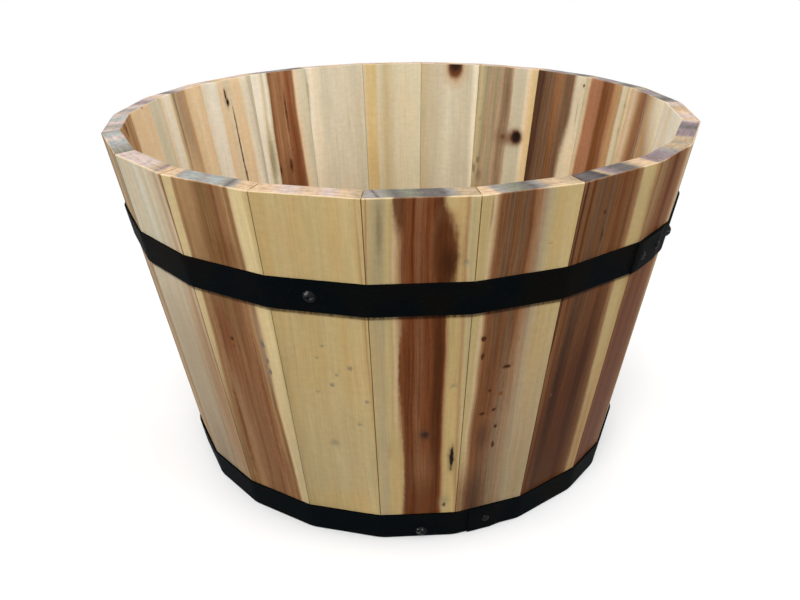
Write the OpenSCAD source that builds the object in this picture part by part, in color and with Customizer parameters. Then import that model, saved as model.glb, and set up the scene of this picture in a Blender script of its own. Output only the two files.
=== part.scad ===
// Wooden barrel planter: 22 flat tapered staves drawn together by two riveted steel hoops,
// with a boarded floor let into a groove near the foot and two battens under it.
// Millimetres. The origin is on the ground at the barrel's centre, +Z is up and the front
// is towards -Y. Angles go round from the front towards +X.

/* [Barrel] */
// Across opposite corners of the rim
rim_d = 508; // [470:1:540]
// Across opposite corners of the foot
foot_d = 406; // [380:1:440]
// Height of the staves at their outer faces
stave_h = 310; // [250:1:360]
// Thickness of a stave, square to its face
stave_t = 15; // [12:0.5:20]
// How much higher the rim's inner edge stands than its outer edge
rim_rise = 0.8; // [0:0.1:2]
// Gap left between two staves
stave_gap = 0.2; // [0.1:0.1:0.6]

/* [Floor] */
// Underside of the floor above the ground
floor_up = 26; // [20:1:60]
// Thickness of the floor boards
floor_t = 14; // [12:1:20]
// Depth of the groove in the staves that holds the floor
groove_depth = 6; // [4:0.5:8]
// Slack of the floor's edge in its groove
groove_slack = 0.3; // [0.1:0.1:1]
// Gap left between two floor boards
board_gap = 0.8; // [0.4:0.2:2]
// Diameter of a drain hole
drain_d = 12; // [6:1:20]

/* [Battens] */
// Width of a batten
batten_w = 36; // [25:1:50]
// Thickness of a batten
batten_t = 15; // [10:1:18]
// Distance between the battens' middles
batten_span = 160; // [130:1:180]
// Room between a batten's ends and the staves
batten_room = 5; // [2:1:10]

/* [Hoops] */
// Width of the hoop strip
hoop_w = 26; // [18:1:36]
// Thickness of the hoop strip
hoop_t = 1.5; // [1:0.1:2.5]
// Gap between a hoop and the staves
hoop_gap = 0.2; // [0.1:0.1:0.5]
// Rim down to the top edge of the upper hoop
upper_hoop_down = 62; // [30:1:100]
// Bottom edge of the lower hoop above the ground
lower_hoop_up = 0.6; // [0.4:0.1:12]
// Length over which the strip's upper end climbs onto its lower end
lap_ramp = 9; // [4:1:14]

/* [Hoop screws and rivets] */
// Diameter of a hoop screw's shank
screw_d = 3.6; // [3:0.1:4.5]
// Length of a hoop screw's shank in the wood
screw_len = 11; // [8:0.5:12]
// Diameter of a hoop screw's pan head
pan_d = 9.4; // [7:0.1:10]
// Height of a hoop screw's pan head
pan_h = 2.6; // [2:0.1:3.5]
// Diameter of a rivet's shank
rivet_d = 3.2; // [2.5:0.1:4]
// Diameter of a rivet's head
rivet_head_d = 6.8; // [5.5:0.1:8]
// Height of a rivet's head
rivet_head_h = 1.6; // [1.2:0.1:2.2]
// Slack round a shank in its hole
shank_slack = 0.1; // [0.05:0.05:0.3]

/* [Batten screws] */
// Diameter of a batten screw's shank
long_screw_d = 4; // [3:0.1:5]
// Depth that a batten screw goes into a floor board
long_screw_bite = 9; // [6:0.5:11]
// Diameter of a batten screw's countersunk head
sunk_d = 8; // [7:0.1:9]
// Height of a batten screw's countersunk head
sunk_h = 2.6; // [2:0.1:3.5]

/* [Hidden] */
// How far each joint between two staves stands from an even spacing, in degrees. The first
// is the joint at the front, and the boards are not all of one width.
joint_shift = [0, 0.5, 0.5, 2, -1.5, 0, 0, 0, 0, -1, 0, 0, 0, 0, 0, 0, 0, 0, -1.5, -1, -1.5, -0.5];
staves = len(joint_shift);
step = 360 / staves;

// Fasteners in a hoop, each as [angle round the barrel, height above the hoop's lower edge]
hoop_mid = hoop_w / 2;
upper_screws = [[67, hoop_mid], [150, hoop_mid], [236, hoop_mid], [350.5, hoop_mid]];
lower_screws = [[9.2, hoop_mid / 2], [122, hoop_mid], [205, hoop_mid], [289, hoop_mid]];
upper_rivets = [[52.6, hoop_mid], [59, hoop_mid]];
lower_rivets = [[24.3, hoop_mid]];
// Where the strip's two ends lie over each other, as [first angle, last angle]
upper_lap = [50, 62];
lower_lap = [20, 29];

rim_r = rim_d / 2;
foot_r = foot_d / 2;
half_step = step / 2;
// Lean of a stave's face, and the stave's thickness measured level
lean = atan((rim_r - foot_r) * cos(half_step) / stave_h);
stave_level_t = stave_t / cos(lean);
upper_hoop_up = stave_h - upper_hoop_down - hoop_w * cos(lean);
hoop_h = hoop_w * cos(lean);

// The floor's corners reach into the groove and stop short of its back by the slack
floor_r = corner_r(floor_up) - (stave_level_t - groove_depth) / cos(half_step) - groove_slack;
boards = 5;
board_pitch = 2 * floor_r / boards;
batten_reach = foot_r * cos(half_step) - stave_level_t - batten_room;
batten_len = 2 * sqrt(pow(batten_reach, 2) - pow((batten_span + batten_w) / 2, 2));
// The end screws stand midway between the outer board's inner edge and the batten's end
end_screw_y = (board_pitch * 1.5 + batten_len / 2) / 2;
batten_screw_ys = [-end_screw_y, -board_pitch, 0, board_pitch, end_screw_y];
long_screw_len = batten_t + long_screw_bite;
pilot_over = 0.5;
// A screw head's cross recess: width of an arm, and shares of the head's width and height
recess_w = 1;
recess_share = 0.55;
recess_depth_share = 0.5;
// How far a shank goes up into its head, as a share of the head's height
shank_share = 0.25;
cut = 1;
$fn = 40;

wood_pale = "#d3c19a";
wood_tan = "#b98f62";
wood_dark = "#8a5f42";
floor_wood = "#c2a67c";
paint_black = "#15181a";
worn_steel = "#3c4042";

// Radius of the barrel's outer corners at a height above the ground
function corner_r(z) = foot_r + (rim_r - foot_r) * z / stave_h;
// Angle of the joint after stave k
function joint(k) = k * step + (k < staves ? joint_shift[k] : joint_shift[0]);
function stave_half(k) = (joint(k) - joint(k - 1)) / 2;
function stave_mid(k) = (joint(k) + joint(k - 1)) / 2;
// The stave that an angle falls on
function stave_at(angle) = [for (k = [1 : staves]) if (angle >= joint(k - 1) && angle < joint(k)) k][0];
function at_angle(r, angle) = [r * sin(angle), -r * cos(angle)];
// A point on the barrel's outline at height z, moved outwards by off
function outline_point(angle, z, off) =
    let (k = stave_at(angle))
    at_angle((corner_r(z) * cos(stave_half(k)) + off) / cos(angle - stave_mid(k)), angle);
// The outline's corners at height z, moved outwards by off
function outline(z, off) =
    [for (k = [0 : staves - 1]) at_angle(corner_r(z) + off / cos(half_step), joint(k))];
// The stretch of outline between two angles
function outline_run(from, to, z, off) = concat(
    [outline_point(from, z, off)],
    [for (k = [1 : staves - 1]) if (joint(k) > from && joint(k) < to)
        at_angle(corner_r(z) + off / cos(half_step), joint(k))],
    [outline_point(to, z, off)]);
function reversed(points) = [for (i = [len(points) - 1 : -1 : 0]) points[i]];
// How much a level section grows over the height of a hoop
function hoop_growth(low) = corner_r(low + hoop_h) / corner_r(low);

// Stands its children on a stave's outer face, with their +Z square to the face
module on_face(angle, z) {
    k = stave_at(angle);
    face_r = corner_r(z) * cos(stave_half(k));
    rotate([0, 0, stave_mid(k)])
        translate([face_r * tan(angle - stave_mid(k)), -face_r, z])
            rotate([90 + lean, 0, 0])
                children();
}

// Stands its children on every place of a list, on the hoop whose lower edge is at low
module at_places(places, low) {
    for (p = places) on_face(p[0], low + p[1] * cos(lean)) children();
}

// Cross section of a stave, as [distance from the barrel's axis, height]
module stave_section(half) {
    foot_out = foot_r * cos(half);
    rim_out = rim_r * cos(half);
    floor_top = floor_up + floor_t + groove_slack;
    groove_back = corner_r(floor_up) * cos(half) - stave_level_t + groove_depth;
    polygon([
        [foot_out, 0],
        [rim_out, stave_h],
        [corner_r(stave_h + rim_rise) * cos(half) - stave_level_t, stave_h + rim_rise],
        [corner_r(floor_top) * cos(half) - stave_level_t, floor_top],
        [groove_back, floor_top],
        [groove_back, floor_up],
        [corner_r(floor_up) * cos(half) - stave_level_t, floor_up],
        [foot_out - stave_level_t, 0]]);
}

// The space between two joints, less half a gap on each side
module stave_wedge(half) {
    far = rim_d;
    translate([0, -stave_gap / 2 / sin(half), -cut])
        linear_extrude(stave_h + rim_rise + 2 * cut)
            polygon([[0, 0], at_angle(far, -half), at_angle(far, half)]);
}

module pilot_hole() {
    translate([0, 0, -screw_len - pilot_over])
        cylinder(d = screw_d + 2 * shank_slack, h = screw_len + pilot_over + cut);
}

module stave(k) {
    difference() {
        rotate([0, 0, stave_mid(k)])
            intersection() {
                rotate([90, 0, -90])
                    linear_extrude(rim_r, center = true)
                        stave_section(stave_half(k));
                stave_wedge(stave_half(k));
            }
        at_places([for (p = upper_screws) if (stave_at(p[0]) == k) p], upper_hoop_up) pilot_hole();
        at_places([for (p = lower_screws) if (stave_at(p[0]) == k) p], lower_hoop_up) pilot_hole();
    }
}

module through_hole(d) {
    translate([0, 0, -cut]) cylinder(d = d + 2 * shank_slack, h = 2 * hoop_t + 2 * cut + hoop_gap);
}

// A steel strip bent round the barrel, with its upper end lying over its lower end
module hoop(low, lap, screws, rivets) {
    seat = hoop_gap;
    skin = hoop_gap + hoop_t;
    ramp_angle = lap_ramp / corner_r(low) * 180 / PI;
    color(paint_black) difference() {
        union() {
            difference() {
                translate([0, 0, low])
                    linear_extrude(hoop_h, scale = hoop_growth(low))
                        polygon(outline(low, skin));
                translate([0, 0, low - cut])
                    linear_extrude(hoop_h + 2 * cut,
                        scale = corner_r(low + hoop_h + cut) / corner_r(low - cut))
                        polygon(outline(low - cut, seat));
            }
            translate([0, 0, low])
                linear_extrude(hoop_h, scale = hoop_growth(low))
                    polygon(concat(
                        outline_run(lap[0], lap[1], low, skin - hoop_t / 2),
                        reversed(outline_run(lap[0], lap[1] - ramp_angle, low, skin + hoop_t))));
        }
        at_places(screws, low) through_hole(screw_d);
        at_places(rivets, low) through_hole(rivet_d);
    }
}

// A low dome standing on z = 0
module dome(d, h) {
    ball_r = (pow(d / 2, 2) + pow(h, 2)) / (2 * h);
    intersection() {
        translate([0, 0, h - ball_r]) sphere(ball_r);
        cylinder(d = d, h = h);
    }
}

// The cross-shaped recess of a screw head whose top is at z = 0
module cross_recess(head_d, depth) {
    arm = head_d * recess_share;
    for (turn = [0, 90]) rotate([0, 0, turn])
        translate([-arm / 2, -recess_w / 2, -depth]) cube([arm, recess_w, depth + cut]);
}

module hoop_screw() {
    seat = hoop_gap + hoop_t;
    difference() {
        union() {
            translate([0, 0, seat]) dome(pan_d, pan_h);
            translate([0, 0, -screw_len]) cylinder(d = screw_d, h = screw_len + seat + pan_h * shank_share);
        }
        translate([0, 0, seat + pan_h]) cross_recess(pan_d, pan_h * recess_depth_share);
    }
}

module hoop_screws() {
    color(worn_steel) {
        at_places(upper_screws, upper_hoop_up) hoop_screw();
        at_places(lower_screws, lower_hoop_up) hoop_screw();
    }
}

// A rivet through both layers of the lap, with its head outside
module rivet() {
    seat = hoop_gap + 2 * hoop_t;
    translate([0, 0, seat]) dome(rivet_head_d, rivet_head_h);
    translate([0, 0, hoop_gap]) cylinder(d = rivet_d, h = 2 * hoop_t + rivet_head_h * shank_share);
}

module hoop_rivets() {
    color(paint_black) {
        at_places(upper_rivets, upper_hoop_up) rivet();
        at_places(lower_rivets, lower_hoop_up) rivet();
    }
}

module upper_hoop() { hoop(upper_hoop_up, upper_lap, upper_screws, upper_rivets); }
module lower_hoop() { hoop(lower_hoop_up, lower_lap, lower_screws, lower_rivets); }

// Puts its children under the battens' screw places: both battens, or the one on a side
module at_batten_screws(sides) {
    for (side = sides, y = batten_screw_ys)
        translate([side * batten_span / 2, y, floor_up - batten_t]) children();
}

// A countersunk screw driven upwards from z = 0, grown all round by over
module sunk_screw(over) {
    cylinder(d1 = sunk_d + 2 * over, d2 = long_screw_d + 2 * over, h = sunk_h);
    cylinder(d = long_screw_d + 2 * over, h = long_screw_len + (over > 0 ? pilot_over : 0));
}

module batten_screws() {
    color(worn_steel) at_batten_screws([-1, 1]) difference() {
        sunk_screw(0);
        rotate([180, 0, 0]) cross_recess(sunk_d, sunk_h * recess_depth_share);
    }
}

module batten(side) {
    color(wood_tan) difference() {
        translate([side * batten_span / 2 - batten_w / 2, -batten_len / 2, floor_up - batten_t])
            cube([batten_w, batten_len, batten_t]);
        at_batten_screws([side]) sunk_screw(shank_slack);
    }
}

module batten_left() { batten(-1); }
module batten_right() { batten(1); }

// Floor board n, counted from the front
module floor_board(n) {
    low_y = -floor_r + (n - 1) * board_pitch;
    color(floor_wood) difference() {
        intersection() {
            translate([0, 0, floor_up])
                linear_extrude(floor_t)
                    polygon([for (k = [0 : staves - 1]) at_angle(floor_r, joint(k))]);
            translate([-floor_r, low_y + board_gap / 2, floor_up - cut])
                cube([2 * floor_r, board_pitch - board_gap, floor_t + 2 * cut]);
        }
        at_batten_screws([-1, 1]) sunk_screw(shank_slack);
        if (n > 1 && n < boards)
            translate([0, low_y + board_pitch / 2, floor_up - cut])
                cylinder(d = drain_d, h = floor_t + 2 * cut);
    }
}

module floor_board_1() { floor_board(1); }
module floor_board_2() { floor_board(2); }
module floor_board_3() { floor_board(3); }
module floor_board_4() { floor_board(4); }
module floor_board_5() { floor_board(5); }

module stave_01() { color(wood_dark) stave(1); }
module stave_02() { color(wood_tan) stave(2); }
module stave_03() { color(wood_dark) stave(3); }
module stave_04() { color(wood_dark) stave(4); }
module stave_05() { color(wood_pale) stave(5); }
module stave_06() { color(wood_pale) stave(6); }
module stave_07() { color(wood_tan) stave(7); }
module stave_08() { color(wood_dark) stave(8); }
module stave_09() { color(wood_dark) stave(9); }
module stave_10() { color(wood_tan) stave(10); }
module stave_11() { color(wood_pale) stave(11); }
module stave_12() { color(wood_pale) stave(12); }
module stave_13() { color(wood_pale) stave(13); }
module stave_14() { color(wood_dark) stave(14); }
module stave_15() { color(wood_tan) stave(15); }
module stave_16() { color(wood_tan) stave(16); }
module stave_17() { color(wood_pale) stave(17); }
module stave_18() { color(wood_tan) stave(18); }
module stave_19() { color(wood_tan) stave(19); }
module stave_20() { color(wood_pale) stave(20); }
module stave_21() { color(wood_dark) stave(21); }
module stave_22() { color(wood_pale) stave(22); }

stave_01();
stave_02();
stave_03();
stave_04();
stave_05();
stave_06();
stave_07();
stave_08();
stave_09();
stave_10();
stave_11();
stave_12();
stave_13();
stave_14();
stave_15();
stave_16();
stave_17();
stave_18();
stave_19();
stave_20();
stave_21();
stave_22();
floor_board_1();
floor_board_2();
floor_board_3();
floor_board_4();
floor_board_5();
batten_left();
batten_right();
batten_screws();
upper_hoop();
lower_hoop();
hoop_rivets();
hoop_screws();
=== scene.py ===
"""Wooden barrel planter: 22 oiled acacia staves, two painted steel hoops, a boarded floor on two
battens and the screws and rivets. Metres, in the frame's own axes. The front is towards -Y."""

from collections import namedtuple
import math

import bmesh
import bpy
from mathutils import Matrix, Vector


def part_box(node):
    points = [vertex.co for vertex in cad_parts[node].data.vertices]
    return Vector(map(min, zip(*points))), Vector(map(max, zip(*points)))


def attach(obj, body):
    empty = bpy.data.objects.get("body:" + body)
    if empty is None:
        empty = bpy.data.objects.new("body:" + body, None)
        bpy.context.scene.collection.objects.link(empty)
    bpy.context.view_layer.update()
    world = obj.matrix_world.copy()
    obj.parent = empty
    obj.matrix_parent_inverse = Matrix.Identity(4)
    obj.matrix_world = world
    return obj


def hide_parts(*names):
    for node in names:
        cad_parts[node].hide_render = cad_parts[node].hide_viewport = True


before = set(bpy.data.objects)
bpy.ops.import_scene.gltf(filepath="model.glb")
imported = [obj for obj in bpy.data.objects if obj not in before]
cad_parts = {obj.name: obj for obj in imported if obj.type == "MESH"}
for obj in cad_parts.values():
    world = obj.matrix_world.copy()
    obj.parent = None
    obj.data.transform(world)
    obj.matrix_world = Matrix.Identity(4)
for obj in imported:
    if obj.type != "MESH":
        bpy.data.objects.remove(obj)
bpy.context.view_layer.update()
MM = 0.001


def add_object(name, data):
    made = bpy.data.objects.new(name, data)
    bpy.context.scene.collection.objects.link(made)
    return made


# ------ camera, from the photograph

PHOTO_W = 800
SENSOR_MM = 36
FOCAL_PX = 804.8
CENTRE_X_PX = 403.5
CAMERA_AZIMUTH = 5.73  # degrees, towards +X from the front
CAMERA_OUT = 0.7205  # from the planter's axis
CAMERA_UP = 0.4644
CAMERA_PITCH = 25.49  # degrees, downwards
CAMERA_ROLL = -0.695  # degrees
CAMERA_NEAR = 0.05  # nothing closer than this is drawn


def add_camera():
    data = bpy.data.cameras.new("camera")
    data.sensor_width = SENSOR_MM
    data.lens = SENSOR_MM * FOCAL_PX / PHOTO_W
    data.shift_x = (PHOTO_W / 2 - CENTRE_X_PX) / PHOTO_W
    data.clip_start = CAMERA_NEAR
    camera = add_object("camera", data)
    azimuth = math.radians(CAMERA_AZIMUTH)
    place = Matrix.Translation((CAMERA_OUT * math.sin(azimuth), -CAMERA_OUT * math.cos(azimuth), CAMERA_UP))
    turn = (Matrix.Rotation(azimuth, 4, "Z")
            @ Matrix.Rotation(math.radians(90 - CAMERA_PITCH), 4, "X")
            @ Matrix.Rotation(math.radians(CAMERA_ROLL), 4, "Z"))
    camera.matrix_world = place @ turn
    bpy.context.scene.camera = camera


# ------ where each board lies

STAVE_THICK = 15  # mm, from a stave's outer face to its inner face
LOOKS_OUT = 0.9  # a stave's outer face looks out by more than this cosine, and no other does
FACE_SLACK = 0.05  # mm that a point of the outer face may lie behind its foremost point


# A board's own axes run across its width, inwards from its shown face and up along its grain, and its
# turn takes them to the frame's
Board = namedtuple("Board", "origin turn")


def stave_board(name):
    """Reads a stave's outer face out of its CAD mesh. The origin is the middle of that face's rim."""
    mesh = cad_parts[name].data
    outward = Vector((0, 0, 0))
    for face in mesh.polygons:
        level = Vector((face.center.x, face.center.y, 0)).normalized()
        if face.normal.dot(level) > LOOKS_OUT:
            outward += face.normal * face.area
    outward.normalize()
    reach = max(v.co.dot(outward) for v in mesh.vertices)
    top = max(v.co.z for v in mesh.vertices if v.co.dot(outward) > reach - FACE_SLACK * MM)
    radius = (reach - top * outward.z) / math.hypot(outward.x, outward.y)
    turn_z = math.atan2(outward.x, -outward.y)
    origin = Vector((radius * math.sin(turn_z), -radius * math.cos(turn_z), top))
    return Board(origin, Matrix.Rotation(turn_z, 3, "Z") @ Matrix.Rotation(math.asin(-outward.z), 3, "X"))


def level_board(name, across):
    """A floor board or a batten lies level, with its top face shown and its grain along its length."""
    low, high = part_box(name)
    origin = Vector(((low.x + high.x) / 2, (low.y + high.y) / 2, high.z))
    down = Vector((0, 0, -1))
    return Board(origin, Matrix((across, down, across.cross(down))).transposed())


# ------ tones and figures of the wood


def linear(hex_colour):
    """sRGB hex to linear RGBA."""
    parts = [int(hex_colour[i:i + 2], 16) / 255 for i in (1, 3, 5)]
    return tuple(p / 12.92 if p <= 0.04045 else ((p + 0.055) / 1.055) ** 2.4 for p in parts) + (1,)


# Acacia along the grain, from the palest sapwood to the knots
BONE = "#ece5d4"
IVORY = "#e6dac0"
LINEN = "#d1c8b1"
CREAM = "#dbccae"
BLUSH = "#dfc7ac"
APRICOT = "#e4cba6"
PEACH = "#dcc099"
BUTTER = "#e6d09e"
STRAW = "#d0b987"
HONEY = "#cdb27c"
OAT = "#cfc5a8"
KHAKI = "#bfae88"
PUTTY = "#c4bba3"
DRIFTWOOD = "#bda98a"
BUFF = "#ae957a"
SEPIA = "#8f7a60"
MOSS = "#9b9272"
TAN = "#b8946a"
FAWN = "#a67d58"
SIENNA = "#a9785a"
TOBACCO = "#8f6c45"
CLAY = "#94684a"
WALNUT = "#845a39"
SMOKE = "#765a44"
RUST = "#7f4b2c"
CHESTNUT = "#65391f"
PLUM = "#543a2d"
UMBER = "#462512"
TAR = "#1f1511"
# Its sawn ends
CHALK = "#ccb8ae"
PEAR = "#d3b593"
SAND = "#b8a284"
MIST = "#a5aaa6"
DOVE = "#9b958e"
LICHEN = "#858473"
LEAD = "#6c6663"
MAUVE = "#8e7e80"
SOOT = "#4c4646"
# What the wood is tinted with: the growth lines, the slow drifts, dirt, and painted shade in the
# joints and below the upper hoop
LINE_TINT = "#b98f6c"
GREY_TINT = "#eeede4"
PLAIN_TINT = "#fdfaf4"
WARM_TINT = "#fff2e2"
SMUDGE_TINT = "#8d7c74"
JOINT_DUST_AND_SHADE = "#7a5b40"
HOOP_SHADOW_AND_GRIME = "#5a4c42"
# The rim's sanded edge, with a painted highlight
SANDED_AND_HIGHLIGHT = "#ead3ae"

HALF_BAND = 40  # mm, the bands run this far to each side of a board's middle
STAIN_SIZE = 16  # mm; a mark longer than this to each side is in the wood, under its growth lines
PALE_ENDS = [(-38, PEAR), (-20, CHALK), (-4, PEAR), (14, SAND), (26, CHALK), (38, PEAR)]
GREY_ENDS = [(-38, DOVE), (-24, LEAD), (-6, DOVE), (8, MAUVE), (22, DOVE), (30, SAND), (38, PEAR)]

# A knot, crack, stain or fleck, or a soft patch of painted shade: its middle and its size in mm, and from
# 0 to 1 how soft its edge is and how strong its tone
Mark = namedtuple("Mark", "tone across down half_width half_length softness strength")


class Figure:
    """A board's figure: bands of tone by their place across in mm, marks, and the sawn ends' bands."""

    def __init__(self, bands, marks=(), ends=PALE_ENDS, slant=0.25, face_in=0.0, wander=1.2):
        self.bands = bands
        self.marks = [Mark(*values) for values in marks]
        self.ends = ends
        self.slant = slant  # how far the bands shift across for each mm into the board
        self.face_in = face_in  # the depth in mm at which the bands are in their places
        self.wander = wander  # how far the bands stray, in mm


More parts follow.
